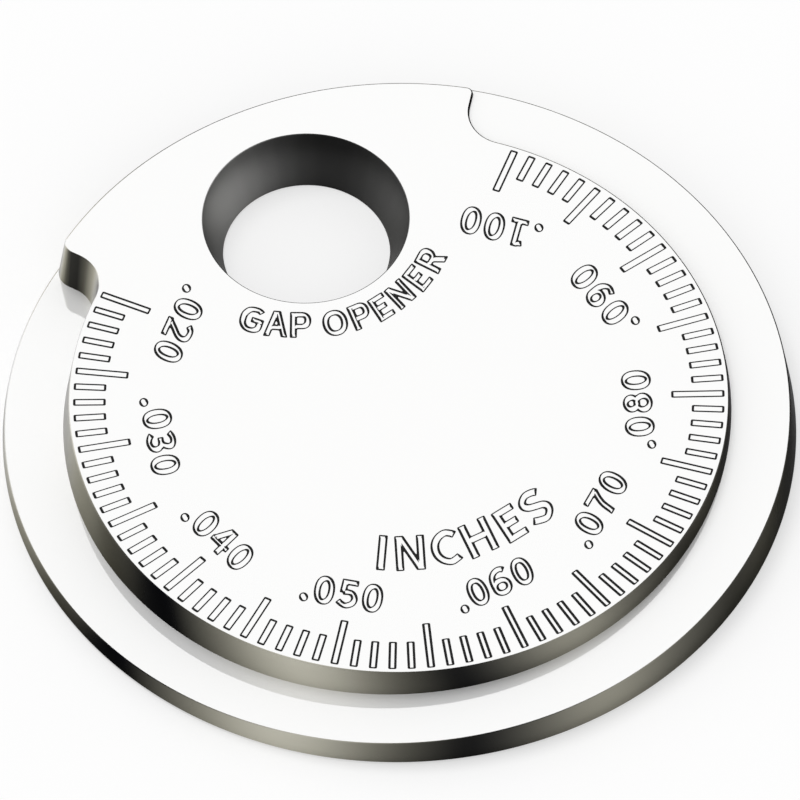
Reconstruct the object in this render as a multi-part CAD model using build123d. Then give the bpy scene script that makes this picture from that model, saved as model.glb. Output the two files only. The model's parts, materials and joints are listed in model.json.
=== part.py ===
from build123d import *
from math import cos, radians, sin, tan
import os

# Coin-type spark plug gap gauge: one struck disc with a rim that thickens evenly along the scale.
# Millimetres and degrees. The origin is the centre of the back, and +Z points out of the marked face.
# Angles run counter-clockwise from +X, seen from the face, and the ramp climbs the same way.

inch = 25.4

# The disc, with every wall leaning in by the same draft
back_diameter = 36.4
rim_width = 3.1
wall_draft = 8.0

# The gaps that the rim measures, and where their marks stand
thinnest_gap = 0.020 * inch
thickest_gap = 0.100 * inch
gap_per_mark = 0.001 * inch
marks_per_group = 5
scale_start = 155.6
scale_sweep = 272.6

# How far the face disc and the tab stand above the thickest gap
face_rise = 0.26

# The full-thickness tab between the two ends of the ramp
lead_in = 5.35
run_out = 9.8
step_fillet = 1.8
least_step_wall = 0.1
thin_end_corner = 0.6
thick_end_corner = 0.3

# The tapered hole that bends the electrode
opener_angle = 112.0
opener_rim_wall = 2.02
opener_mouth = 9.5
opener_lip = 7.7
lip_land = 0.2

# The scale marks: each is an outline, engraved as a groove with sloping sides
mark_width = 0.38
short_mark = 1.5
long_mark = 2.45
mark_edge_gap = 0.2
groove_width = 0.085
groove_depth = 0.05
groove_side_angle = 35.0

# Small break round the edge of the back
back_edge_break = 0.12

# Worked out from the sizes above
full_thickness = thickest_gap + face_rise
draft_lean = full_thickness * tan(radians(wall_draft))
back_radius = back_diameter / 2
tab_radius = back_radius - draft_lean
face_radius = back_radius - rim_width
opener_distance = tab_radius - opener_rim_wall - opener_mouth / 2
rise_per_degree = (thickest_gap - thinnest_gap) / scale_sweep
mark_count = round((thickest_gap - thinnest_gap) / gap_per_mark) + 1
tab_first = scale_start + scale_sweep + run_out - 360
tab_last = scale_start - lead_in
ramp_overlap = (tab_last - tab_first) / 4
beyond = 1.0


def at_angle(distance, angle, height=0.0):
    return Vector(distance * cos(radians(angle)), distance * sin(radians(angle)), height)


def rim_height(angle):
    # angle counts on past 360 from the thin end of the ramp
    return thinnest_gap + rise_per_degree * (angle - scale_start)


def make_rim():
    """The drafted disc below a helicoid: a surface of level radial lines that climbs evenly.

    Its inner edge and both its ends run on under the face disc and the tab.
    """
    first, last = tab_last - ramp_overlap, tab_first + 360 + ramp_overlap
    climb = rim_height(last) - rim_height(first)

    def helix(radius):
        edge = Edge.make_helix(360 * rise_per_degree, climb, radius)
        return Pos(0, 0, rim_height(first)) * Rot(0, 0, first) * edge

    ramp_top = Face.make_surface_from_curves(helix(face_radius / 2), helix(back_radius + beyond))
    below_ramp = Solid.extrude(ramp_top, Vector(0, 0, -full_thickness - climb))
    disc = Solid.make_cone(back_radius, tab_radius, full_thickness)
    return disc & below_ramp


def step_blend(corner_radius):
    # The blend may grow until only the least straight wall is left before the tab's corner.
    corner_end = (tab_radius**2 - 2 * tab_radius * corner_radius) ** 0.5
    blend_end = corner_end - least_step_wall
    return min(step_fillet, (blend_end**2 - face_radius**2) / (2 * face_radius))


def make_face_outline():
    """Face disc and tab as seen from above, with blended steps."""
    tab_arc = CenterArc((0, 0), tab_radius, tab_first, tab_last - tab_first)
    tab = make_face([Line((0, 0), tab_arc @ 0), tab_arc, Line(tab_arc @ 1, (0, 0))])
    outline = Circle(face_radius) + tab

    def corner(distance, angle):
        return outline.vertices().sort_by_distance(at_angle(distance, angle))[0]

    for angle, corner_radius in ((tab_first, thick_end_corner), (tab_last, thin_end_corner)):
        outline = fillet(corner(face_radius, angle), step_blend(corner_radius))
        outline = fillet(corner(tab_radius, angle), corner_radius)
    return outline


def make_core():
    """Full-thickness face disc and tab, its walls drafted out to the back."""
    back_outline = offset(make_face_outline(), draft_lean, kind=Kind.INTERSECTION)
    return extrude(back_outline.face(), full_thickness, taper=wall_draft)


def make_opener_hole():
    """Cone that narrows from the face to a short straight land at the back."""
    mouth, lip = opener_mouth / 2, opener_lip / 2
    profile = make_face(
        Polyline(
            (0, -beyond),
            (lip, -beyond),
            (lip, lip_land),
            (mouth, full_thickness),
            (mouth, full_thickness + beyond),
            (0, full_thickness + beyond),
            close=True,
        )
    )
    cone = revolve(Plane.XZ * profile, Axis.Z)
    return Pos(at_angle(opener_distance, opener_angle)) * cone


def make_mark(length):
    """The groove round one mark, seen as a solid, with its outer end at the edge of the scale."""
    side_lean = groove_depth * tan(radians(groove_side_angle))

    def block(inset, taper):
        sides = Rectangle(length - 2 * inset, mark_width - 2 * inset)
        return extrude(sides, groove_depth, taper=taper)

    outside = block(side_lean, -groove_side_angle)
    island = block(groove_width - side_lean, groove_side_angle)
    groove = outside - island
    return Pos(face_radius - mark_edge_gap - length / 2, 0, full_thickness - groove_depth) * groove


def make_scale():
    """A groove for each step of the gap, with a long one at the head of each group."""
    long_groove, short_groove = make_mark(long_mark), make_mark(short_mark)
    angle_per_mark = scale_sweep / (mark_count - 1)
    grooves = []
    for i in range(mark_count):
        groove = short_groove if i % marks_per_group else long_groove
        grooves.append(Rot(0, 0, scale_start + i * angle_per_mark) * groove)
    return grooves


def break_back_edge(body):
    rim_edge = body.edges().filter_by(GeomType.CIRCLE).group_by(Axis.Z)[0].sort_by(Edge.length)[-1]
    return chamfer(rim_edge, back_edge_break)


def make_gauge_disc():
    body = make_rim() + make_core() - make_opener_hole()
    return break_back_edge(body) - make_scale()


os.makedirs("parts", exist_ok=True)
export_step(make_gauge_disc(), "parts/gauge_disc.step")
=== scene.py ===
import json
from math import asin, atan2, cos, degrees, hypot, pi, radians, remainder, sin, tan

import bmesh
import bpy
import numpy as np
from mathutils import Matrix, Vector

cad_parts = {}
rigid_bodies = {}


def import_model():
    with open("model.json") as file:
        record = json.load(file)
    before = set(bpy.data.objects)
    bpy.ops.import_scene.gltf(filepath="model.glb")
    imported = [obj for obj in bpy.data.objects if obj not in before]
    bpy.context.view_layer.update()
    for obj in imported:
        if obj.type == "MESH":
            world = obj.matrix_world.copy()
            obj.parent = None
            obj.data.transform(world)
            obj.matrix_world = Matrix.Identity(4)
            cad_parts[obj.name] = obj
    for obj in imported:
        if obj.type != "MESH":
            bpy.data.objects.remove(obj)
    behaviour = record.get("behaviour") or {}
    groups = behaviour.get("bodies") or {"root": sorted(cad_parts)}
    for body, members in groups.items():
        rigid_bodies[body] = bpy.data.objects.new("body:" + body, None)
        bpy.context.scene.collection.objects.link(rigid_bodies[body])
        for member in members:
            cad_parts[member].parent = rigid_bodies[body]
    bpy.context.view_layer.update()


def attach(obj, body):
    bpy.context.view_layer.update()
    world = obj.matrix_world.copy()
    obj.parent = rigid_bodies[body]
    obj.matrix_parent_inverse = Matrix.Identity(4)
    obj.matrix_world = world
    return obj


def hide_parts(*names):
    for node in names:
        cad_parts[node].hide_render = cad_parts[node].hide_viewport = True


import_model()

# Sizes are in millimetres and degrees here, and each mesh is brought to metres when it is done.
# Angles run counter-clockwise from +X, seen from the face.
inch = 25.4
weldDistance = 1e-4
disc = {
    "backRadius": 18.2, "faceRadius": 15.1, "thickness": 2.8, "wallDraft": 8.0,
    "thinGap": 0.020 * inch, "thickGap": 0.100 * inch, "scaleStart": 155.6, "scaleSweep": 272.6,
    "leadIn": 5.35, "runOut": 9.8, "stepBlend": 1.8, "thinEndCorner": 0.6, "thickEndCorner": 0.3,
    "edgeRound": 0.06, "backBreak": 0.12, "leastStep": 0.12, "stepFan": 0.35,
}
hole = {"angle": 112.0, "distance": 11.0365, "mouth": 4.75, "lip": 3.85, "land": 0.2,
        "mouthRound": 0.05, "roundSteps": 3, "sides": 160}
# The engraved lines hold painted shade. They are widest where they face one way across the disc, and
# narrowest a quarter turn on, so that the painted shade follows light from one side
groove = {"depth": 0.05, "widest": 0.132, "narrowest": 0.057, "widestFacing": 28.0}

draftSlope = tan(radians(disc["wallDraft"]))
tabRadius = disc["backRadius"] - disc["thickness"] * draftSlope
risePerDegree = (disc["thickGap"] - disc["thinGap"]) / disc["scaleSweep"]
thinStep = disc["scaleStart"] - disc["leadIn"]
thickStep = disc["scaleStart"] + disc["scaleSweep"] + disc["runOut"]
tabMiddle = (thinStep + thickStep - 360) / 2
holeCentre = (hole["distance"] * cos(radians(hole["angle"])),
              hole["distance"] * sin(radians(hole["angle"])))
holeReach = hole["mouth"] + 0.1  # walls no further than this from the hole's middle are its own


def atAngle(radius, angle):
    return radius * cos(radians(angle)), radius * sin(radians(angle))


def linkObject(name, data):
    piece = bpy.data.objects.new(name, data)
    bpy.context.scene.collection.objects.link(piece)
    return piece


def edgeMesh(name, loops):
    # closed loops of points, as a mesh of edges only
    verts, edges = [], []
    for loop in loops:
        first = len(verts)
        verts += [(x, y, 0.0) for x, y in loop]
        edges += [(first + i, first + (i + 1) % len(loop)) for i in range(len(loop))]
    mesh = bpy.data.meshes.new(name)
    mesh.from_pydata(verts, edges, [])
    return mesh


class NodeBench:
    # short ways to add and join nodes in one tree
    def __init__(self, tree):
        self.tree = tree

    def add(self, kind, **settings):
        node = self.tree.nodes.new(kind)
        for key, value in settings.items():
            setattr(node, key, value)
        return node

    def join(self, source, target):
        if isinstance(source, bpy.types.NodeSocket):
            self.tree.links.new(source, target)
        elif source is not None:
            target.default_value = source

    def fill(self, node, sockets):
        for label, source in sockets.items():
            target = next(s for s in node.inputs if s.name == label and s.enabled)
            for one in source if isinstance(source, list) else [source]:
                self.join(one, target)

    def step(self, kind, settings=None, out=0, **sockets):
        # one node with its inputs named by their labels, spaces written as underscores
        node = self.add(kind, **(settings or {}))
        self.fill(node, {label.replace("_", " "): source for label, source in sockets.items()})
        return node.outputs[out]

    def calc(self, operation, *terms):
        node = self.add("ShaderNodeMath", operation=operation)
        for term, target in zip(terms, node.inputs):
            self.join(term, target)
        return node.outputs[0]

    def vector(self, operation, *terms, out=0):
        node = self.add("ShaderNodeVectorMath", operation=operation)
        for term, target in zip(terms, node.inputs):
            self.join(term, target)
        return node.outputs[out]

    def scaled(self, source, factor):
        return self.vector("SCALE", source, None, None, factor)

    def combine(self, x, y, z):
        return self.step("ShaderNodeCombineXYZ", X=x, Y=y, Z=z)

    def separate(self, source):
        node = self.add("ShaderNodeSeparateXYZ")
        self.join(source, node.inputs[0])
        return node.outputs


class ShapeBench(NodeBench):
    # a geometry tree with named inputs for its sizes
    def __init__(self, name, inputs):
        super().__init__(bpy.data.node_groups.new(name, "GeometryNodeTree"))
        face = self.tree.interface
        face.new_socket("Geometry", in_out="INPUT", socket_type="NodeSocketGeometry")
        self.inputs, self.ids = inputs, {}
        for label, value in inputs.items():
            kind = {float: "NodeSocketFloat", int: "NodeSocketInt"}.get(type(value), "NodeSocketObject")
            self.ids[label] = face.new_socket(label, in_out="INPUT", socket_type=kind).identifier
        face.new_socket("Geometry", in_out="OUTPUT", socket_type="NodeSocketGeometry")
        self.groupIn = self.add("NodeGroupInput")
        self.groupOut = self.add("NodeGroupOutput")

    def value(self, label):
        return self.groupIn.outputs[label]

    def attribute(self, name, kind):
        return self.step("GeometryNodeInputNamedAttribute", {"data_type": kind}, out="Attribute", Name=name)

    def joined(self, *shapes):
        return self.step("GeometryNodeJoinGeometry", Geometry=list(shapes))

    def welded(self, *shapes):
        return self.step("GeometryNodeMergeByDistance", Geometry=self.joined(*shapes), Distance=weldDistance)

    def lifted(self, shape, height):
        return self.step("GeometryNodeTransform", Geometry=shape, Translation=self.combine(0.0, 0.0, height))

    def finish(self, geometry, materials):
        # Realize Instances, then one Set Material for each finish with the faces it goes to
        shape = self.step("GeometryNodeRealizeInstances", Geometry=geometry)
        for material, chosen in materials:
            shape = self.step("GeometryNodeSetMaterial", Geometry=shape, Selection=chosen, Material=material)
        self.join(shape, self.groupOut.inputs[0])


def bakeTree(bench, piece, values=None):
    # sets the inputs, evaluates, and gives the plain mesh
    modifier = piece.modifiers.new(bench.tree.name, "NODES")
    modifier.node_group = bench.tree
    for label, value in {**bench.inputs, **(values or {})}.items():
        modifier[bench.ids[label]] = value
    bpy.context.view_layer.update()
    graph = bpy.context.evaluated_depsgraph_get()
    mesh = bpy.data.meshes.new_from_object(piece.evaluated_get(graph))
    piece.modifiers.remove(modifier)
    return mesh


def grey(level):
    return (level, level, level, 1)


def newMaterial(name):
    material = bpy.data.materials.new(name)
    material.use_nodes = True
    return material, NodeBench(material.node_tree), material.node_tree.nodes["Principled BSDF"]


def cloudyRough(bench, look):
    # roughness that wanders a little from place to place
    cloud = bench.step("ShaderNodeTexNoise", out="Fac", Scale=look["cloud"], Detail=look["detail"],
                       Vector=bench.step("ShaderNodeTexCoord", out="Object"))
    return bench.step("ShaderNodeMapRange", Value=cloud, To_Min=look["rough"] - look["roughSwing"],
                      To_Max=look["rough"] + look["roughSwing"])


def polishedFace():
    look = {"tone": (0.985, 0.985, 0.98), "metallic": 0.31, "rough": 0.03, "roughSwing": 0.012,
            "cloud": 260, "detail": 4}
    material, bench, shader = newMaterial("polishedFace")
    bench.fill(shader, {"Base Color": (*look["tone"], 1), "Metallic": look["metallic"],
                        "Roughness": cloudyRough(bench, look)})
    return material


# The walls' base colours are painted reflections: a painted dark tone, with a pale painted band for each
# card.
# Each card is (the way it stands, how far to each side it reaches, how bright it is) around the part, in
# degrees and as a tone from 0 to 255: a broad pale one at the left, and narrower ones in front
wallSheen = {"metallic": 0.9, "roughSwing": 0.06, "cloud": 700, "detail": 2, "specular": 0.2, "tint": 0.25,
             "brightest": 250, "screenGamma": 2.2, "rampSteps": 30}
outerWall = {**wallSheen, "rough": 0.3, "gain": 1.15, "warmth": 0.07, "dark": 36,
             "paintedCards": [(168, 60, 220), (251, 29, 135), (301, 24, 95), (335, 35, 40), (75, 60, 60)]}
holeWall = {**wallSheen, "rough": 0.35, "gain": 2.0, "warmth": 0.01, "dark": 38,
            "paintedCards": [(338, 85, 76), (180, 75, 46)]}


def paintedCardTone(look, angle):
    # the painted tone of a wall that faces this way: a painted dark reflection, with a soft bell of painted
    # reflected light for each pale card
    tone = look["dark"]
    for middle, reach, bright in look["paintedCards"]:
        aside = abs((angle - middle + 180) % 360 - 180)
        if aside < reach:
            tone += bright * (1 + cos(pi * aside / reach)) / 2
    return min(tone, look["brightest"])


def paintedFacingTone(bench, look):
    # a ramp round the part, with the painted reflection tone of each facing; its first and last points are
    # the same one
    sweep = bench.step("ShaderNodeTexGradient", {"gradient_type": "RADIAL"}, out="Fac",
                       Vector=bench.step("ShaderNodeAttribute", {"attribute_name": "facing"}, out="Vector"))
    ramp = bench.add("ShaderNodeValToRGB")
    bench.join(sweep, ramp.inputs[0])
    ramp.color_ramp.interpolation = "CARDINAL"
    band, steps = ramp.color_ramp.elements, look["rampSteps"]
    while len(band) < steps + 1:
        band.new(0.5)
    for i, element in enumerate(band):
        tone = paintedCardTone(look, 360 * i / steps - 180) / 255
        level = min(1.0, look["gain"] * tone ** look["screenGamma"])
        warm = look["warmth"] * 4 * tone * (1 - tone)
        element.position = i / steps
        element.color = (level * (1 + warm), level * (1 + warm / 2), level * (1 - 2 * warm), 1)
    return ramp.outputs[0]


def paintedReflectionWall(name, look):
    # the base colour is a painted reflection picked by facing, times the painted shade share; the gloss
    # comes from the shader
    material, bench, shader = newMaterial(name)
    shade = bench.step("ShaderNodeAttribute", {"attribute_name": "shade"}, out="Fac")
    bench.fill(shader, {"Base Color": bench.scaled(paintedFacingTone(bench, look), shade),
                        "Roughness": cloudyRough(bench, look), "Metallic": look["metallic"],
                        "Specular IOR Level": look["specular"], "Specular Tint": grey(look["tint"])})
    return material


def paintedGrooveShadeMaterial():
    # a near-black base colour that stands in for the grooves' shade, with a grain of tone that differs at
    # random
    look = {"tone": 0.006, "rough": 0.6, "specular": 0.2, "grain": 3000, "grainShares": (0.5, 1.6)}
    material, bench, shader = newMaterial("paintedGrooveShade")
    ramp = bench.add("ShaderNodeValToRGB")
    bench.join(bench.step("ShaderNodeTexNoise", out="Fac", Scale=look["grain"],
                          Vector=bench.step("ShaderNodeTexCoord", out="Object")), ramp.inputs[0])
    for element, share in zip(ramp.color_ramp.elements, look["grainShares"]):
        element.color = grey(look["tone"] * share)
    bench.fill(shader, {"Base Color": ramp.outputs[0], "Roughness": look["rough"],
                        "Specular IOR Level": look["specular"]})
    return material


polished = polishedFace()
# The walls' base colours are painted reflections, with painted shade beside a step
paintedWallReflection = paintedReflectionWall("paintedReflectionWall", outerWall)
paintedHoleReflection = paintedReflectionWall("holeWall", holeWall)
paintedGrooveShade = paintedGrooveShadeMaterial()
print("finishes made")


lettering = {"stretchX": 0.926, "stretchY": 1.08, "gridStep": 0.02, "marginX": 0.25, "marginY": 0.2,
             "soften": 4, "loopTolerance": 0.003, "leastPoints": 10, "tipReach": 0.3,
             "slim": {"N": 0.92, "A": 0.92, "4": 0.93}}


def lineWidth(facing):
    # how wide a groove and its painted shade are where its sides face this way
    swing = groove["widest"] - groove["narrowest"]
    return groove["narrowest"] + swing * np.cos(np.radians(facing - groove["widestFacing"])) ** 2


def oval(cx, cy, rx, ry, start=0.0, end=360.0, square=2.0, steps=40):
    count = max(6, int(steps * abs(end - start) / 360))
    points = []
    for i in range(count + 1):
        a = radians(start + (end - start) * i / count)
        c, s = cos(a), sin(a)
        points.append((cx + rx * abs(c) ** (2 / square) * (1 if c >= 0 else -1),
                       cy + ry * abs(s) ** (2 / square) * (1 if s >= 0 else -1)))
    return points


def flowing(*points, steps=6):
    # a smooth line through the points
    guide = [points[0], *points, points[-1]]
    path = []
    for near in zip(guide, guide[1:], guide[2:], guide[3:]):
        for t in [k / steps for k in range(steps)]:
            path.append(tuple(0.5 * (2 * b + (c - a) * t + (2 * a - 5 * b + 4 * c - d) * t * t
                                     + (3 * b - a - 3 * c + d) * t ** 3) for a, b, c, d in zip(*near)))
    return path + [points[-1]]


def signStrokes(sign, wide, high, bar, level):
    # middle lines of the strokes of one sign, about its middle; `level` is the thickness of its level bars
    left, right, low, top = (bar - wide) / 2, (wide - bar) / 2, (level - high) / 2, (high - level) / 2
    foot, head = -high / 2, high / 2
    if sign in "0O":
        return [oval(0, 0, right, top, square=2.2)]
    if sign == "1":
        return [[(0.05, head), (0.05, foot + 0.05)], [(0.10, 0.61), (-0.34, 0.51)],
                [(-0.43, low), (0.47, low)]]
    if sign == "2":
        return [flowing((-0.41, 0.39), (-0.21, 0.565), (0.02, top), (0.25, 0.53), (0.335, 0.33),
                        (0.25, 0.07), (-0.02, -0.22), (-0.31, -0.54)), [(-0.52, low), (0.50, low)]]
    if sign == "3":
        return [flowing((-0.43, 0.43), (-0.22, 0.56), (0.0, top), (0.20, 0.54), (0.29, 0.38), (0.20, 0.12),
                        (0.02, 0.0), (-0.24, -0.01)),
                flowing((-0.24, -0.01), (0.02, -0.01), (0.25, -0.08), (0.35, -0.27), (0.26, -0.49),
                        (0.0, low), (-0.24, -0.55), (-0.44, -0.41))]
    if sign == "4":
        return [[(0.208, head), (0.208, foot)], [(-0.55, -0.226), (0.54, -0.226)],
                [(0.13, 0.80), (-0.39, -0.20)]]
    if sign == "5":
        return [[(-0.41, top), (0.43, top)], [(-0.235, head), (-0.285, 0.02)],
                flowing((-0.31, 0.06), (-0.20, 0.085), (0.0, 0.095), (0.20, 0.04), (0.33, -0.20),
                        (0.24, -0.45), (-0.04, low), (-0.28, -0.53), (-0.48, -0.39))]
    if sign == "6":
        return [oval(0, -0.27, right, -0.27 - low, square=2.1),
                flowing((0.42, 0.47), (0.30, 0.56), (0.12, top), (-0.10, 0.52), (-0.27, 0.34),
                        (-0.345, 0.05), (-0.345, -0.27))]
    if sign == "7":
        return [[(-0.51, top), (0.51, top)],
                flowing((0.40, 0.62), (0.28, 0.42), (0.14, 0.18), (0.01, -0.17), (-0.07, -0.78))]
    if sign == "8":
        return [oval(0.015, 0.31, 0.30, top - 0.31), oval(0.02, -0.26, 0.35, -0.26 - low)]
    if sign == "9":
        return [oval(0, 0.25, 0.325, top - 0.25, square=2.05),
                flowing((0.325, 0.25), (0.335, 0.0), (0.30, -0.28), (0.14, -0.51), (-0.08, low),
                        (-0.38, -0.47))]
    if sign == ".":
        return [[(0, 0), (0.0001, 0)]]
    if sign == "I":
        return [[(0, foot), (0, head)]]
    if sign == "N":
        return [[(left, foot), (left, head)], [(right, foot), (right, head)],
                [(left - 0.02, head + 0.06), (right + 0.02, foot - 0.06)]]
    if sign == "C":
        return [flowing((0.60, 0.55), (0.40, 0.67), (0.12, top), (-0.22, 0.60), (-0.44, 0.33), (-0.51, 0.0),
                        (-0.44, -0.33), (-0.22, -0.60), (0.12, low), (0.42, -0.66), (0.63, -0.55))]
    if sign == "H":
        return [[(left, foot), (left, head)], [(right, foot), (right, head)], [(left, 0.03), (right, 0.03)]]
    if sign == "E":
        return [[(left, foot), (left, head)], [(left, low), (wide / 2, low)], [(left, top), (wide / 2, top)],
                [(left, 0.02), (wide / 2 - 0.13, 0.02)]]
    if sign == "S":
        return [flowing((0.61, 0.50), (0.40, 0.66), (0.05, top), (-0.27, 0.66), (-0.39, 0.46),
                        (-0.27, 0.22), (0.03, 0.03), (0.34, -0.15), (0.46, -0.38), (0.34, -0.62),
                        (0.02, low), (-0.33, -0.62), (-0.62, -0.42))]
    if sign == "G":
        return [flowing((0.40, 0.44), (0.24, 0.53), (0.02, top - 0.01), (-0.24, 0.46), (-0.41, 0.22),
                        (-0.44, -0.02), (-0.39, -0.29), (-0.20, -0.49), (0.05, low + 0.01), (0.27, -0.49),
                        (0.40, -0.38), (0.43, -0.22), (0.43, 0.0)),
                [(0.43, -0.12), (0.43, 0.14)], [(0.61, 0.0), (-0.04, 0.0)]]
    if sign == "A":
        return [[(left - 0.03, foot - 0.05), (-0.02, head)], [(right + 0.03, foot - 0.05), (0.02, head)],
                [(left + 0.05, -0.19), (right - 0.05, -0.19)]]
    if sign == "P":
        return [[(left, foot), (left, head)],
                [(left, top), (0.08, top),
                 *oval(0.06, (top - 0.08) / 2, right - 0.06, (top + 0.08) / 2, 90, -90, 2.3),
                 (left, -0.08)]]
    if sign == "R":
        return [[(left, foot), (left, head)],
                [(left, top), (0.05, top),
                 *oval(0.02, (top - 0.05) / 2, right - 0.04, (top + 0.05) / 2, 90, -90, 2.3),
                 (left, -0.05)],
                [(0.04, -0.02), (0.41, foot - 0.05)]]
    raise ValueError(sign)


def strokeDepth(points, grid, half, roundEnds):
    # signed distance to one stroke: negative inside, with ends cut square
    path = np.array(points, float)
    closed = hypot(*(path[0] - path[-1])) < 1e-6
    a, b = path[:-1], path[1:]
    run = b - a
    length = np.maximum(np.hypot(run[:, 0], run[:, 1]), 1e-9)
    along = np.einsum("pk,sk->ps", grid, run) - np.einsum("sk,sk->s", a, run)
    share = np.clip(along / length ** 2, 0, 1)
    nearest = a[None] + share[..., None] * run[None]
    gap = np.hypot(*np.moveaxis(grid[:, None] - nearest, -1, 0))
    best = gap.argmin(1)
    rows = np.arange(len(grid))
    depth = gap[rows, best] - half
    if closed or roundEnds:
        return depth
    travelled = np.concatenate([[0], np.cumsum(length)])
    where = travelled[best] + share[rows, best] * length[best]
    reach = lettering["tipReach"]
    for tip, towards, near in ((path[0], path[0] - path[1], where < reach),
                               (path[-1], path[-1] - path[-2], where > travelled[-1] - reach)):
        way = towards / max(hypot(*towards), 1e-9)
        past = (grid - tip) @ way
        across = np.abs((grid - tip) @ np.array([-way[1], way[0]])) - half
        square = np.where(past > 0, np.hypot(past, np.maximum(across, 0)), np.maximum(depth, past))
        depth = np.where(near, square, depth)
    return depth


def levelLoops(field, step, origin, level):
    # closed lines along which a grid of numbers has one value
    ny, nx = field.shape
    low = field < level
    ends = {}

    def cross(i0, j0, i1, j1):
        f0, f1 = field[j0, i0], field[j1, i1]
        t = (level - f0) / (f1 - f0)
        return origin[0] + step * (i0 + t * (i1 - i0)), origin[1] + step * (j0 + t * (j1 - j0))

    # which sides of a cell the line joins, by which of its corners are inside
    pairs = {1: [(3, 0)], 2: [(0, 1)], 3: [(3, 1)], 4: [(1, 2)], 5: [(3, 2), (1, 0)], 6: [(0, 2)],
             7: [(3, 2)], 8: [(2, 3)], 9: [(2, 0)], 10: [(0, 3), (2, 1)], 11: [(2, 1)], 12: [(1, 3)],
             13: [(1, 0)], 14: [(0, 3)]}
    code = low[:-1, :-1] * 1 + low[:-1, 1:] * 2 + low[1:, 1:] * 4 + low[1:, :-1] * 8
    for j, i in zip(*np.nonzero((code > 0) & (code < 15))):
        sides = {0: (i, j, i + 1, j), 1: (i + 1, j, i + 1, j + 1), 2: (i, j + 1, i + 1, j + 1),
                 3: (i, j, i, j + 1)}
        for s, e in pairs[int(code[j, i])]:
            ends[sides[s]] = sides[e]
    loops = []
    while ends:
        key, after = ends.popitem()
        loop = [key]
        while after != loop[0]:
            loop.append(after)
            after = ends.pop(after)
        loops.append([cross(*k) for k in loop])
    return loops


def thinned(loop, tolerance):
    # keeps only the points that the curve needs, starting from its two farthest points
    points = np.array(loop)
    first = int(np.argmax(np.hypot(*(points - points.mean(0)).T)))
    points = np.roll(points, -first, 0)
    far = int(np.argmax(np.hypot(*(points - points[0]).T)))
    points = np.vstack([points, points[:1]])

    def keep(i, j):
        if j - i < 2:
            return []
        chord = points[j] - points[i]
        span = max(hypot(*chord), 1e-9)
        side = points[i + 1:j] - points[i]
        off = np.abs(side[:, 0] * chord[1] - side[:, 1] * chord[0]) / span
        k = int(off.argmax())
        if off[k] < tolerance:
            return []
        k += i + 1
        return keep(i, k) + [k] + keep(k, j)

    chosen = [0] + keep(0, far) + [far] + keep(far, len(points) - 1)
    return [tuple(points[k]) for k in chosen]


def signField(sign, wide, high, bar, level):
    # a grid of signed distances to the sign's own edge, with its corners softened
    step = lettering["gridStep"]
    bar *= lettering["slim"].get(sign, 1)
    squeeze = bar / level
    reachX, reachY = wide / 2 + lettering["marginX"], high / 2 + lettering["marginY"]
    nx, ny = int(2 * reachX / step) + 1, int(2 * reachY / step) + 1
    x, y = np.meshgrid(np.arange(nx) * step - reachX, np.arange(ny) * step - reachY)
    grid = np.stack([x.ravel(), y.ravel()], -1)
    field = np.full(len(grid), np.inf)
    for stroke in signStrokes(sign, wide, high, bar, level):
        tall = [(u, v * squeeze) for u, v in stroke]
        field = np.minimum(field, strokeDepth(tall, grid * (1, squeeze), bar / 2, sign == "."))
    field = field.reshape(ny, nx)
    field /= np.clip(np.hypot(*np.gradient(field, step)), 1, squeeze)
    field = np.maximum(field, np.abs(y) - high / 2)
    for _ in range(lettering["soften"]):
        field[1:-1, 1:-1] = sum(
            field[1 + dy:ny - 1 + dy, 1 + dx:nx - 1 + dx] * w
            for dx, dy, w in ((0, 0, 4), (1, 0, 2), (-1, 0, 2), (0, 1, 2), (0, -1, 2),
                              (1, 1, 1), (1, -1, 1), (-1, 1, 1), (-1, -1, 1))) / 16
    return field, (-reachX, -reachY)


def stretched(x, y, turn, u, v):
    # the place u along and v up from (x, y), for a sign that is turned; all signs share the stretch
    c, s = cos(radians(turn)), sin(radians(turn))
    return x + lettering["stretchX"] * (u * c - v * s), y + lettering["stretchY"] * (u * s + v * c)


fields = {}  # each sign is worked out once for each of its sizes


def placeSign(sign, wide, high, bar, level, x, y, turn):
    # both edges of the groove round one sign, at its place on the face
    key = (sign, wide, high, bar, level)
    if key not in fields:
        fields[key] = signField(*key)
    field, corner = fields[key]
    slopeY, slopeX = np.gradient(field)
    facing = np.degrees(np.arctan2(slopeY, slopeX)) + turn
    placed = []
    for edge in (field, field + lineWidth(facing)):
        for loop in levelLoops(edge, lettering["gridStep"], corner, 0.0):
            if len(loop) > lettering["leastPoints"]:
                points = thinned(loop, lettering["loopTolerance"])
                placed.append([stretched(x, y, turn, u, v) for u, v in points])
    return placed


# Numbers: each line has its figures, the angle and radius of the middle one, and the way that the line runs
numbers = {
    "wide": 1.04, "high": 1.5, "bar": 0.345, "level": 0.31, "spacing": 1.199, "dot": (-2.152, -0.513),
    "dotSize": 0.47,
    "lines": [("020", 158.0, 10.84, 245.4), ("030", 191.1, 11.09, 279.0), ("040", 223.3, 11.15, 313.7),
              ("050", 257.2, 11.01, 349.1), ("060", 293.6, 11.12, 24.8), ("070", 326.9, 10.90, 59.5),
              ("080", 357.6, 10.93, 93.3), ("090", 31.3, 10.88, 128.1), ("100", 64.7, 10.60, 163.8)],
}


def numberLoops():
    loops = []
    for figures, angle, radius, turn in numbers["lines"]:
        middle, size = atAngle(radius, angle), numbers["dotSize"]
        loops += placeSign(".", size, size, size, size, *stretched(*middle, turn, *numbers["dot"]), turn)
        for i, figure in enumerate(figures):
            loops += placeSign(figure, numbers["wide"], numbers["high"], numbers["bar"], numbers["level"],
                               *stretched(*middle, turn, (i - 1) * numbers["spacing"], 0), turn)
    return loops


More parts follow.
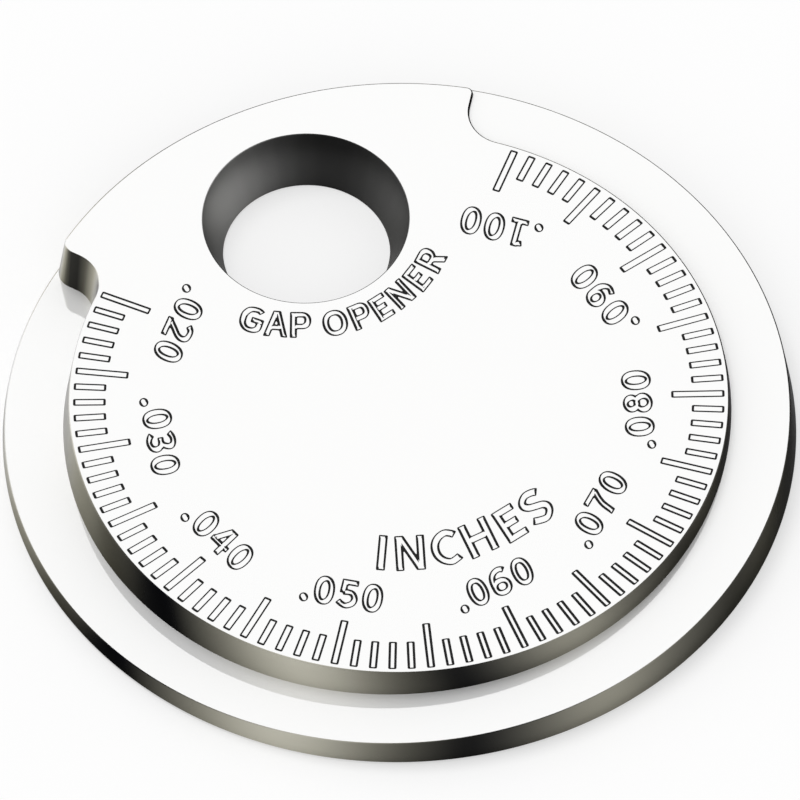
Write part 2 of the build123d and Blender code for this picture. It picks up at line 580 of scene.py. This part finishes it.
# Words: each letter has its angle on the arc, its width and height, how far it is moved along and up from
# there, and how much it leans
unitWord = {"bar": 0.45, "level": 0.37, "centre": (0, 0), "radius": 8.53, "letters": [
    ("I", 264.0, 0.45, 1.81, 0.0, 0.0, 0.0), ("N", 272.7, 1.48, 1.80, -0.01, 0.0, 0.0),
    ("C", 283.6, 1.46, 1.87, 0.0, 0.01, 0.0), ("H", 294.4, 1.50, 1.82, 0.0, 0.03, 0.0),
    ("E", 305.4, 1.17, 1.80, 0.007, -0.04, -4.0), ("S", 315.4, 1.44, 1.91, -0.03, -0.137, 0.0)]}
openerWords = {"bar": 0.36, "level": 0.295, "centre": (-4.33, 10.92), "radius": 6.74, "letters": [
    ("G", 249.7, 1.19, 1.39, 0.0, 0.0, 0.0), ("A", 259.2, 1.20, 1.36, 0.03, 0.04, 5.0),
    ("P", 268.6, 1.07, 1.35, 0.055, 0.06, 0.0), ("O", 282.6, 1.28, 1.36, 0.0, -0.015, 0.0),
    ("P", 292.0, 1.05, 1.34, 0.135, -0.015, 0.0), ("E", 302.1, 0.91, 1.33, -0.015, -0.053, 0.0),
    ("N", 311.5, 1.08, 1.34, 0.01, -0.005, 0.0), ("E", 321.7, 0.89, 1.40, 0.008, 0.015, 0.0),
    ("R", 331.5, 1.03, 1.41, 0.05, 0.055, 0.0)]}


def wordLoops(word):
    loops = []
    for letter, angle, wide, high, across, up, lean in word["letters"]:
        x, y = atAngle(word["radius"], angle)
        turn = angle - 270
        place = stretched(word["centre"][0] + x, word["centre"][1] + y, turn, across, up)
        loops += placeSign(letter, wide, high, word["bar"], word["level"], *place, turn + lean)
    return loops


# Scale marks: two outlines, repeated by rule round the scale
marks = {"gapPerMark": 0.001 * inch, "perGroup": 5, "short": 1.5, "long": 2.45, "width": 0.38,
         "edgeGap": 0.2, "corner": 0.07, "innerCorner": 0.02, "cornerSteps": 3}


def markShape(name, length):
    # both edges of the groove round one mark, one on the other, with the way that the inner one moves in;
    # its outer end is at x = 0 and it runs in towards the centre of the disc
    half = marks["width"] / 2

    def rounded(r):
        loop, ways = [], []
        for cx, cy, first in ((-r, half - r, 0), (r - length, half - r, 90),
                              (r - length, r - half, 180), (-r, r - half, 270)):
            for k in range(marks["cornerSteps"] + 1):
                a = radians(first + 90 * k / marks["cornerSteps"])
                loop.append((cx + r * cos(a), cy + r * sin(a)))
                ways += [-1.0 if first in (0, 270) else 1.0, -1.0 if cy > 0 else 1.0, 0.0]
        return loop, ways

    (outer, _), (inner, ways) = rounded(marks["corner"]), rounded(marks["innerCorner"])
    mesh = edgeMesh(name, [outer, inner])
    moves = mesh.attributes.new("moves", "FLOAT_VECTOR", "POINT")
    moves.data.foreach_set("vector", [0.0] * 3 * len(outer) + ways)
    return linkObject(name, mesh)


def makeScale():
    bench = ShapeBench("markRing", {
        "Marks": int(round((disc["thickGap"] - disc["thinGap"]) / marks["gapPerMark"])) + 1,
        "Group": marks["perGroup"], "Start": disc["scaleStart"], "Sweep": disc["scaleSweep"],
        "Radius": disc["faceRadius"] - marks["edgeGap"], "Widest Line": groove["widest"],
        "Narrowest Line": groove["narrowest"], "Widest Facing": groove["widestFacing"],
        "Long": None, "Short": None})
    value, calc = bench.value, bench.calc
    index = bench.step("GeometryNodeInputIndex")
    share = calc("DIVIDE", index, calc("SUBTRACT", value("Marks"), 1.0))
    angle = calc("RADIANS", calc("ADD", value("Start"), calc("MULTIPLY", share, value("Sweep"))))
    spot = bench.combine(calc("MULTIPLY", calc("COSINE", angle), value("Radius")),
                         calc("MULTIPLY", calc("SINE", angle), value("Radius")), 0.0)
    points = bench.step("GeometryNodePoints", Count=value("Marks"), Position=spot)
    points = bench.step("GeometryNodeStoreNamedAttribute", {"data_type": "FLOAT", "domain": "POINT"},
                        Geometry=points, Name="turn", Value=angle)
    isShort = calc("MINIMUM", calc("MODULO", index, value("Group")), 1.0)
    turn = bench.step("FunctionNodeAxisAngleToRotation", Axis=(0, 0, 1), Angle=angle)
    rings = []
    for label, chosen in (("Long", calc("SUBTRACT", 1.0, isShort)), ("Short", isShort)):
        shape = bench.step("GeometryNodeObjectInfo", out="Geometry", Object=value(label))
        rings.append(bench.step("GeometryNodeInstanceOnPoints", Points=points, Selection=chosen,
                                Instance=shape, Rotation=turn))
    ring = bench.step("GeometryNodeRealizeInstances", Geometry=bench.joined(*rings))

    def width(quarters):
        # the width of the line and its painted shade where its sides face along the mark (0) or across it
        # (1)
        facing = calc("SUBTRACT", calc("ADD", bench.attribute("turn", "FLOAT"), quarters * pi / 2),
                      calc("RADIANS", value("Widest Facing")))
        swing = calc("MULTIPLY", calc("SUBTRACT", value("Widest Line"), value("Narrowest Line")),
                     calc("POWER", calc("COSINE", facing), 2.0))
        return calc("ADD", value("Narrowest Line"), swing)

    along, across, _ = bench.separate(bench.attribute("moves", "FLOAT_VECTOR"))
    move = bench.combine(calc("MULTIPLY", along, width(0)), calc("MULTIPLY", across, width(1)), 0.0)
    turned = bench.step("ShaderNodeVectorRotate", {"rotation_type": "Z_AXIS"}, Vector=move,
                        Angle=bench.attribute("turn", "FLOAT"))
    bench.finish(bench.step("GeometryNodeSetPosition", Geometry=ring, Offset=turned), [(paintedGrooveShade, None)])
    longMark, shortMark = markShape("longMark", marks["long"]), markShape("shortMark", marks["short"])
    holder = linkObject("markHolder", bpy.data.meshes.new("markHolder"))
    mesh = bakeTree(bench, holder, {"Long": longMark, "Short": shortMark})
    for helper in (longMark, shortMark, holder):
        bpy.data.objects.remove(helper)
    return mesh


scaleOutlines = makeScale()
numberOutlines = edgeMesh("numberOutlines", numberLoops())
wordOutlines = edgeMesh("wordOutlines", wordLoops(unitWord) + wordLoops(openerWords))
print("outlines:", *[len(mesh.vertices) for mesh in (scaleOutlines, numberOutlines, wordOutlines)], "points")


def rampHeight(angle):
    return disc["thinGap"] + risePerDegree * (angle - disc["scaleStart"])


outlineEvery = {"long": 0.75, "blend": 4.0, "corner": 9.0}  # degrees from one station to the next


def faceOutline():
    # stations round the face disc and the tab, each a place and its outward way, and where stretches end
    stations, ends = [], [0]

    def arc(middle, r, start, end, outward, kind):
        count = max(2, int(abs(end - start) / outlineEvery[kind]))
        for i in range(count + 1):
            a = start + (end - start) * i / count
            c, s = cos(radians(a)), sin(radians(a))
            stations.append([middle[0] + r * c, middle[1] + r * s, outward * c, outward * s])
        ends.append(len(stations) - 1)

    blend, face = disc["stepBlend"], disc["faceRadius"]
    thick, thin = disc["thickEndCorner"], disc["thinEndCorner"]
    lean = degrees(asin(blend / (face + blend)))
    thickSwing, thinSwing = [degrees(asin(r / (tabRadius - r))) for r in (thick, thin)]
    arc((0, 0), face, thinStep + lean, thickStep - lean, 1, "long")
    # the thick end: blend and corner, with a straight wall between them
    arc(atAngle(face + blend, thickStep - lean), blend, thickStep - lean + 180, thickStep + 90, -1, "blend")
    arc(atAngle(tabRadius - thick, thickStep + thickSwing), thick, thickStep - 90, thickStep + thickSwing, 1,
        "corner")
    arc((0, 0), tabRadius, thickStep + thickSwing, thinStep - thinSwing + 360, 1, "long")
    # the thin end: corner and blend
    arc(atAngle(tabRadius - thin, thinStep - thinSwing), thin, thinStep - thinSwing, thinStep + 90, 1,
        "corner")
    arc(atAngle(face + blend, thinStep + lean), blend, thinStep - 90, thinStep + lean - 180, -1, "blend")
    return stations, ends


def edgeAngles(stations, ends):
    # the angle at which the rim's outer edge answers each station: straight outwards where the rim is open,
    # and fanned out beside a step
    count = len(stations)
    angles = [degrees(atan2(y, x)) % 360 for x, y, _, _ in stations]
    angles = [a if a >= tabMiddle else a + 360 for a in angles]

    def spread(first, last, a0, a1):
        path = [0.0]
        for i in range(first, last):
            path.append(path[-1] + hypot(stations[(i + 1) % count][0] - stations[i % count][0],
                                         stations[(i + 1) % count][1] - stations[i % count][1]))
        for i, travelled in zip(range(first, last + 1), path):
            angles[i % count] = a0 + (a1 - a0) * travelled / max(path[-1], 1e-9)

    def leanBack(step):
        return degrees(draftSlope * (disc["thickness"] - rampHeight(step)) / tabRadius)

    sharpThick, sharpThin = thickStep - leanBack(thickStep), thinStep + leanBack(thinStep)
    fan = disc["stepFan"]
    faceStart, faceEnd, wallThick, tabStart, tabEnd, cornerThin, back = ends
    spread(faceEnd, wallThick, angles[faceEnd], sharpThick - fan)
    spread(wallThick, wallThick + 1, sharpThick - fan, sharpThick)
    spread(wallThick + 1, tabStart, sharpThick, angles[tabStart])
    endOfTab = angles[tabEnd] if angles[tabEnd] < tabMiddle + 180 else angles[tabEnd] - 360
    spread(tabEnd, cornerThin, endOfTab, sharpThin)
    spread(cornerThin, cornerThin + 1, sharpThin, sharpThin + fan)
    spread(cornerThin + 1, back, sharpThin + fan, angles[faceStart])
    return angles


def outlineMesh():
    # the outline as a mesh of edges, with each point's outward way and the rim's angle that answers it
    stations, ends = faceOutline()
    angles = edgeAngles(stations, ends)
    kept = [i for i in range(len(stations))
            if hypot(stations[i][0] - stations[i - 1][0], stations[i][1] - stations[i - 1][1]) > 1e-5]
    outline = edgeMesh("faceOutline", [[stations[i][:2] for i in kept]])
    outward = outline.attributes.new("outward", "FLOAT_VECTOR", "POINT")
    outward.data.foreach_set("vector", [v for i in kept for v in (stations[i][2], stations[i][3], 0)])
    turn = outline.attributes.new("edgeAngle", "FLOAT", "POINT")
    turn.data.foreach_set("value", [angles[i] for i in kept])
    return outline


wallProfile = {"faceRoundSteps": 4, "rimRoundSteps": 3, "rampShares": (0.25, 0.5, 0.75), "roundShare": 0.45,
               "flatNormal": 0.99}


def rampedWalls(bench):
    # a grid of stations by profile rows, each row with its rule
    value, calc, vector = bench.value, bench.calc, bench.vector
    faceSteps, rimSteps = wallProfile["faceRoundSteps"], wallProfile["rimRoundSteps"]
    # a row for each step and share, for the ends of both rounds, for the foot and for two points at the back
    rows = faceSteps + rimSteps + len(wallProfile["rampShares"]) + 5
    index = bench.step("GeometryNodeInputIndex")
    row = calc("MODULO", index, float(rows))
    station = calc("MODULO", calc("FLOOR", calc("DIVIDE", index, float(rows))), value("Stations"))

    def read(kind, field):
        return bench.step("GeometryNodeSampleIndex", {"data_type": kind}, Geometry=value("Geometry"),
                          Value=field, Index=station)

    place = read("FLOAT_VECTOR", bench.step("GeometryNodeInputPosition"))
    out = read("FLOAT_VECTOR", bench.attribute("outward", "FLOAT_VECTOR"))
    answer = read("FLOAT", bench.attribute("edgeAngle", "FLOAT"))

    def ramp(angle):
        climb = calc("MULTIPLY", calc("SUBTRACT", angle, value("Scale Start")), value("Rise Per Degree"))
        return calc("MINIMUM", calc("ADD", value("Thin Gap"), climb),
                    calc("SUBTRACT", value("Thickness"), value("Least Step")))

    def angleOf(spot):
        x, y, _ = bench.separate(spot)
        return calc("WRAP", calc("DEGREES", calc("ARCTAN2", y, x)),
                    calc("ADD", value("Seam Angle"), 360.0), value("Seam Angle"))

    def atHeight(spot, height):
        x, y, _ = bench.separate(spot)
        return bench.combine(x, y, height)

    def pushed(distance, height):
        return atHeight(vector("ADD", place, bench.scaled(out, distance)), height)

    def leanOut(height):
        return calc("MULTIPLY", value("Draft Slope"), height)

    def footDrop(angle):
        return leanOut(calc("SUBTRACT", value("Thickness"), ramp(angle)))

    foot = pushed(footDrop(angleOf(place)), 0.0)
    footAngle = angleOf(foot)
    foot = pushed(footDrop(footAngle), ramp(footAngle))

    edgeHeight = ramp(answer)
    answerRadians = calc("RADIANS", answer)
    outwards = bench.combine(calc("COSINE", answerRadians), calc("SINE", answerRadians), 0.0)

    def onEdge(radius, height):
        return atHeight(bench.scaled(outwards, radius), height)

    edgeRadius = calc("SUBTRACT", value("Back Radius"), leanOut(edgeHeight))
    width = vector("DISTANCE", foot, onEdge(edgeRadius, edgeHeight), out=1)
    rimRound = calc("MINIMUM", value("Edge Round"), calc("MULTIPLY", width, wallProfile["roundShare"]))

    turnAngle = 90 - disc["wallDraft"]
    tangent = tan(radians(turnAngle / 2))
    places = []
    for k in range(faceSteps + 1):  # round of the face's edge
        a = radians(turnAngle * k / faceSteps)
        drop = calc("MULTIPLY", value("Edge Round"), 1 - cos(a))
        places.append(pushed(calc("MULTIPLY", value("Edge Round"), sin(a) - tangent),
                             calc("SUBTRACT", value("Thickness"), drop)))
    places.append(foot)
    rimStart = onEdge(calc("SUBTRACT", edgeRadius, calc("MULTIPLY", rimRound, tangent)), edgeHeight)
    for share in wallProfile["rampShares"]:  # the ramp: every point at the height its own angle gives
        between = vector("ADD", foot, bench.scaled(vector("SUBTRACT", rimStart, foot), share))
        places.append(atHeight(between, ramp(angleOf(between))))
    for k in range(rimSteps + 1):  # round of the rim's edge
        a = radians(turnAngle * k / rimSteps)
        places.append(onEdge(calc("ADD", edgeRadius, calc("MULTIPLY", rimRound, sin(a) - tangent)),
                             calc("SUBTRACT", edgeHeight, calc("MULTIPLY", rimRound, 1 - cos(a)))))
    places.append(onEdge(calc("SUBTRACT", value("Back Radius"), leanOut(value("Back Break"))),
                         value("Back Break")))
    places.append(onEdge(calc("SUBTRACT", value("Back Radius"), value("Back Break")), 0.0))

    chooser = bench.add("GeometryNodeIndexSwitch", data_type="VECTOR")
    while len(chooser.index_switch_items) < rows:
        chooser.index_switch_items.new()
    for source, target in zip([row, *places], chooser.inputs):
        bench.join(source, target)
    grid = bench.step("GeometryNodeMeshGrid", Size_X=1.0, Size_Y=1.0,
                      Vertices_X=calc("ADD", value("Stations"), 1.0), Vertices_Y=rows)
    return bench.step("GeometryNodeSetPosition", Geometry=grid, Position=chooser.outputs[0])


def holeShells(bench):
    # one ring of wall for each step of the hole's profile
    face, r, steps = disc["thickness"], hole["mouthRound"], hole["roundSteps"]
    swing = 90 - degrees(atan2(hole["mouth"] - hole["lip"], face - hole["land"]))
    profile = [(hole["mouth"] + r * (tan(radians(swing / 2)) - sin(radians(swing * k / steps))),
                face - r * (1 - cos(radians(swing * k / steps)))) for k in range(steps + 1)]
    profile += [(hole["lip"], hole["land"]), (hole["lip"], 0.0)]
    shells = []
    for (r0, z0), (r1, z1) in zip(profile, profile[1:]):
        cone = bench.step("GeometryNodeMeshCone", {"fill_type": "NONE"}, Vertices=hole["sides"],
                          Radius_Top=r0, Radius_Bottom=r1, Depth=z0 - z1)
        shells.append(bench.step("GeometryNodeTransform", Geometry=cone, Translation=(*holeCentre, z1)))
    return shells


def withFaces(bench, sides):
    # the open edges at the top and bottom, and the grooves' edges, bound the flat faces
    value, calc = bench.value, bench.calc
    isOpen = calc("COMPARE", bench.step("GeometryNodeInputMeshEdgeNeighbors"), 1.0, 0.1)
    height = bench.separate(bench.step("GeometryNodeInputPosition"))[2]
    isTop = calc("GREATER_THAN", height, disc["thickness"] / 2)
    topLoops, backLoops = [
        bench.step("GeometryNodeMeshToCurve", Mesh=sides, Selection=calc("MULTIPLY", isOpen, chosen))
        for chosen in (isTop, calc("SUBTRACT", 1.0, isTop))]
    grooveEdges = bench.step("GeometryNodeObjectInfo", out="Geometry", Object=value("Engraving"))
    grooveLoops = bench.step("GeometryNodeMeshToCurve", Mesh=grooveEdges)
    grooveBase = calc("SUBTRACT", value("Thickness"), value("Groove Depth"))

    def filled(loops, height):
        return bench.lifted(bench.step("GeometryNodeFillCurve", Curve=loops), height)

    grooveWalls = bench.step("GeometryNodeExtrudeMesh", {"mode": "EDGES"},
                             Mesh=bench.lifted(grooveEdges, grooveBase),
                             Offset=bench.combine(0.0, 0.0, value("Groove Depth")))
    engraved = bench.step("GeometryNodeStoreNamedAttribute", {"data_type": "FLOAT", "domain": "FACE"},
                          Name="engraved", Value=1.0,
                          Geometry=bench.joined(filled(grooveLoops, grooveBase), grooveWalls))
    return bench.welded(sides, filled(bench.joined(topLoops, grooveLoops), value("Thickness")),
                        filled(backLoops, 0.0), engraved)


def makeDisc():
    outline = outlineMesh()
    bench = ShapeBench("rampedDisc", {
        "Stations": len(outline.vertices), "Thickness": disc["thickness"], "Back Radius": disc["backRadius"],
        "Draft Slope": draftSlope, "Thin Gap": disc["thinGap"], "Rise Per Degree": risePerDegree,
        "Scale Start": disc["scaleStart"], "Seam Angle": tabMiddle, "Least Step": disc["leastStep"],
        "Edge Round": disc["edgeRound"], "Back Break": disc["backBreak"], "Groove Depth": groove["depth"],
        "Engraving": None})
    calc = bench.calc
    whole = withFaces(bench, bench.welded(rampedWalls(bench), *holeShells(bench)))
    flatness = bench.separate(bench.step("GeometryNodeInputNormal"))[2]
    isWall = calc("LESS_THAN", calc("ABSOLUTE", flatness), wallProfile["flatNormal"])
    x, y, _ = bench.separate(bench.step("GeometryNodeInputPosition"))
    fromHole = calc("SQRT", calc("ADD", calc("POWER", calc("SUBTRACT", x, holeCentre[0]), 2.0),
                                 calc("POWER", calc("SUBTRACT", y, holeCentre[1]), 2.0)))
    inHole = calc("MULTIPLY", isWall, calc("LESS_THAN", fromHole, holeReach))
    # the walls get the painted reflection materials, and the grooves the painted groove shade
    bench.finish(whole, [(polished, None), (paintedWallReflection, isWall), (paintedHoleReflection, inHole),
                         (paintedGrooveShade, bench.attribute("engraved", "FLOAT"))])

    pattern = linkObject("engraving", bpy.data.meshes.new("engraving"))
    joined = bmesh.new()
    for part in (scaleOutlines, numberOutlines, wordOutlines):
        joined.from_mesh(part)
    joined.to_mesh(pattern.data)
    joined.free()
    holder = linkObject("discHolder", outline)
    mesh = bakeTree(bench, holder, {"Engraving": pattern})
    for helper in (pattern, holder):
        bpy.data.objects.remove(helper)
    return mesh


# Painted light beside the steps: at the thin end the walls' painted reflection turns more softly round the
# step, and at the thick end the wall fades to a deeper painted shade
stepPaintedLight = {"thinEndTurn": 0.76, "thickEndShade": 0.1, "fullAt": 35.0, "nearFace": 0.05}


def wallFacing(vert):
    # the way a wall faces there, which picks its painted reflection tone, and its share of that tone, which
    # drops beside the thick end's step as a painted shade
    way, around = atan2(vert.normal.y, vert.normal.x), atan2(vert.co.y, vert.co.x)
    aside = remainder(way - around, 2 * pi)
    x, y = vert.co.x * 1000, vert.co.y * 1000
    fromHole = hypot(x - holeCentre[0], y - holeCentre[1])
    if fromHole < holeReach or hypot(x, y) < disc["faceRadius"] - stepPaintedLight["nearFace"]:
        return way, 1.0
    if aside > 0:
        return around + aside * stepPaintedLight["thinEndTurn"], 1.0
    return way, 1 - (1 - stepPaintedLight["thickEndShade"]) * min(1, degrees(-aside) / stepPaintedLight["fullAt"])


smoothing = {"flatNormal": 0.998, "sharpAngle": 24.0}


def toMetres(mesh):
    # millimetres to metres, faces outwards, and crisp lines where a flat face ends
    work = bmesh.new()
    work.from_mesh(mesh)
    bmesh.ops.scale(work, vec=(0.001, 0.001, 0.001), verts=work.verts)
    bmesh.ops.recalc_face_normals(work, faces=work.faces)
    openEdges = 0
    for face in work.faces:
        face.smooth = True
    for line in work.edges:
        if len(line.link_faces) != 2:
            openEdges += 1
            line.smooth = False
            continue
        one, other = [abs(face.normal.z) > smoothing["flatNormal"] for face in line.link_faces]
        line.smooth = one == other and line.calc_face_angle(0) < radians(smoothing["sharpAngle"])
    work.to_mesh(mesh)
    volume = work.calc_volume() * 1e9
    # each point's facing picks its painted reflection tone, and its shade share darkens the wall as painted
    # shade beside the thick end's step
    looks = [wallFacing(vert) for vert in work.verts]
    facing = mesh.attributes.new("facing", "FLOAT_VECTOR", "POINT")
    facing.data.foreach_set("vector", [part for way, _ in looks for part in (cos(way), sin(way), 0.0)])
    shade = mesh.attributes.new("shade", "FLOAT", "POINT")
    shade.data.foreach_set("value", [share for _, share in looks])
    work.free()
    return openEdges, volume


discMesh = makeDisc()
openEdges, volume = toMetres(discMesh)
gaugeDisc = linkObject("gaugeDisc", discMesh)
discMesh.name = "gaugeDisc"
print("disc:", len(discMesh.polygons), "faces,", openEdges, "open edges,", round(volume, 1), "mm3")


shadePlateSizes = {"below": 0.004, "clear": 0.002}


def makeShadePlates(name, outlines):
    # a closed dark plate in each groove, clear of its base and just below the face, as painted shade in the
    # groove
    bench = ShapeBench("lineFilling", {"Base": disc["thickness"] - groove["depth"] + shadePlateSizes["clear"],
                                       "Height": groove["depth"] - shadePlateSizes["below"] - shadePlateSizes["clear"]})
    source, base, height = bench.value("Geometry"), bench.value("Base"), bench.value("Height")
    sides = bench.step("GeometryNodeExtrudeMesh", {"mode": "EDGES"}, Mesh=bench.lifted(source, base),
                       Offset=bench.combine(0.0, 0.0, height))
    plate = bench.step("GeometryNodeFillCurve", Curve=bench.step("GeometryNodeMeshToCurve", Mesh=source))
    plates = [bench.lifted(plate, level) for level in (base, bench.calc("ADD", base, height))]
    bench.finish(bench.welded(sides, *plates), [(paintedGrooveShade, None)])
    holder = linkObject(name + "Holder", outlines)
    mesh = bakeTree(bench, holder)
    bpy.data.objects.remove(holder)
    openEdges, volume = toMetres(mesh)
    mesh.name = name
    print(name + ":", len(mesh.polygons), "faces,", openEdges, "open edges,", round(volume, 3), "mm3")
    return linkObject(name, mesh)


scaleLines = makeShadePlates("scaleLines", scaleOutlines)
numberLines = makeShadePlates("numberLines", numberOutlines)
wordLines = makeShadePlates("wordLines", wordOutlines)

for piece in (gaugeDisc, scaleLines, numberLines, wordLines):
    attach(piece, "root")
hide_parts("gauge_disc")


studio = {
    "floorHalf": 0.6, "floorDrop": 0.00002, "floorTone": 0.995, "floorRough": 0.9, "floorShown": 0.5,
    "skyDiffuse": 0.67, "skyBands": [(0.0, 0.30), (0.25, 0.55), (0.5, 1.0)],
    "key": 1.08, "keyAngle": 30, "keyFrom": (-0.25, 0.30, 0.92),
}


def makeFloor():
    half, down = studio["floorHalf"], -studio["floorDrop"]
    mesh = bpy.data.meshes.new("floor")
    mesh.from_pydata([(x * half, y * half, down) for x, y in ((-1, -1), (1, -1), (1, 1), (-1, 1))],
                     [], [(0, 1, 2, 3)])
    floor = linkObject("floor", mesh)
    material, bench, shader = newMaterial("floorPaper")
    bench.fill(shader, {"Base Color": grey(studio["floorTone"]), "Roughness": studio["floorRough"],
                        "Specular IOR Level": 0.0})
    # the camera sees part of the floor as plain white, so that its shadow stays pale
    seen = bench.step("ShaderNodeLightPath", out="Is Camera Ray")
    white = bench.step("ShaderNodeEmission", Color=grey(1.0))
    blend = bench.add("ShaderNodeMixShader")
    share = bench.calc("MULTIPLY", seen, studio["floorShown"])
    for source, target in zip((share, shader.outputs[0], white), blend.inputs):
        bench.join(source, target)
    bench.join(blend.outputs[0], bench.tree.nodes["Material Output"].inputs["Surface"])
    mesh.materials.append(material)


def makeWorld():
    world = bpy.data.worlds.new("studioSky")
    world.use_nodes = True
    bpy.context.scene.world = world
    bench = NodeBench(world.node_tree)
    sky = bench.add("ShaderNodeValToRGB")
    bench.join(bench.separate(bench.step("ShaderNodeTexCoord", out="Generated"))["Z"], sky.inputs[0])
    band = sky.color_ramp.elements
    band.new(studio["skyBands"][1][0])
    for element, (place, level) in zip(band, studio["skyBands"]):
        element.position, element.color = place, grey(level)
    # plain light on dull surfaces, the banded sky in reflections, and white behind the part
    rays = bench.add("ShaderNodeLightPath").outputs
    mirrored = bench.calc("MAXIMUM", rays["Is Glossy Ray"], rays["Is Transmission Ray"])
    lit = bench.step("ShaderNodeMix", {"data_type": "RGBA"}, out="Result", Factor=mirrored,
                     A=grey(studio["skyDiffuse"]), B=sky.outputs[0])
    seen = bench.step("ShaderNodeMix", {"data_type": "RGBA"}, out="Result", Factor=rays["Is Camera Ray"],
                      A=lit, B=grey(1.0))
    bench.join(seen, bench.tree.nodes["Background"].inputs["Color"])


def makeKey():
    light = bpy.data.lights.new("keyLight", "SUN")
    light.energy, light.angle = studio["key"], radians(studio["keyAngle"])
    key = linkObject("keyLight", light)
    key.rotation_mode = "QUATERNION"
    key.rotation_quaternion = Vector(studio["keyFrom"]).to_track_quat("Z", "Y")
    key.visible_glossy = False


# The photo's view from a long way off, so that it is nearly parallel
view = {"lens": 1000.0, "sensor": 36.0, "clip": (0.01, 20.0), "elevation": 55.195, "roll": -0.996,
        "target": (0.053, 1.907, 0.0), "distance": 1019.5}


def makeCamera():
    elevation, roll = radians(view["elevation"]), radians(view["roll"])
    look, right = Vector((0, cos(elevation), -sin(elevation))), Vector((1, 0, 0))
    up = right.cross(look)
    camRight = right * cos(roll) + up * sin(roll)
    camUp = up * cos(roll) - right * sin(roll)
    camera = bpy.data.cameras.new("camera")
    camera.lens, camera.sensor_width = view["lens"], view["sensor"]
    camera.clip_start, camera.clip_end = view["clip"]
    eye = linkObject("camera", camera)
    turn = Matrix((camRight, camUp, -look)).transposed().to_4x4()
    eye.matrix_world = Matrix.Translation((Vector(view["target"]) - look * view["distance"]) * 0.001) @ turn
    bpy.context.scene.camera = eye


makeFloor()
makeWorld()
makeKey()
makeCamera()
bpy.context.scene.view_settings.view_transform = "Standard"
print("studio and camera set")
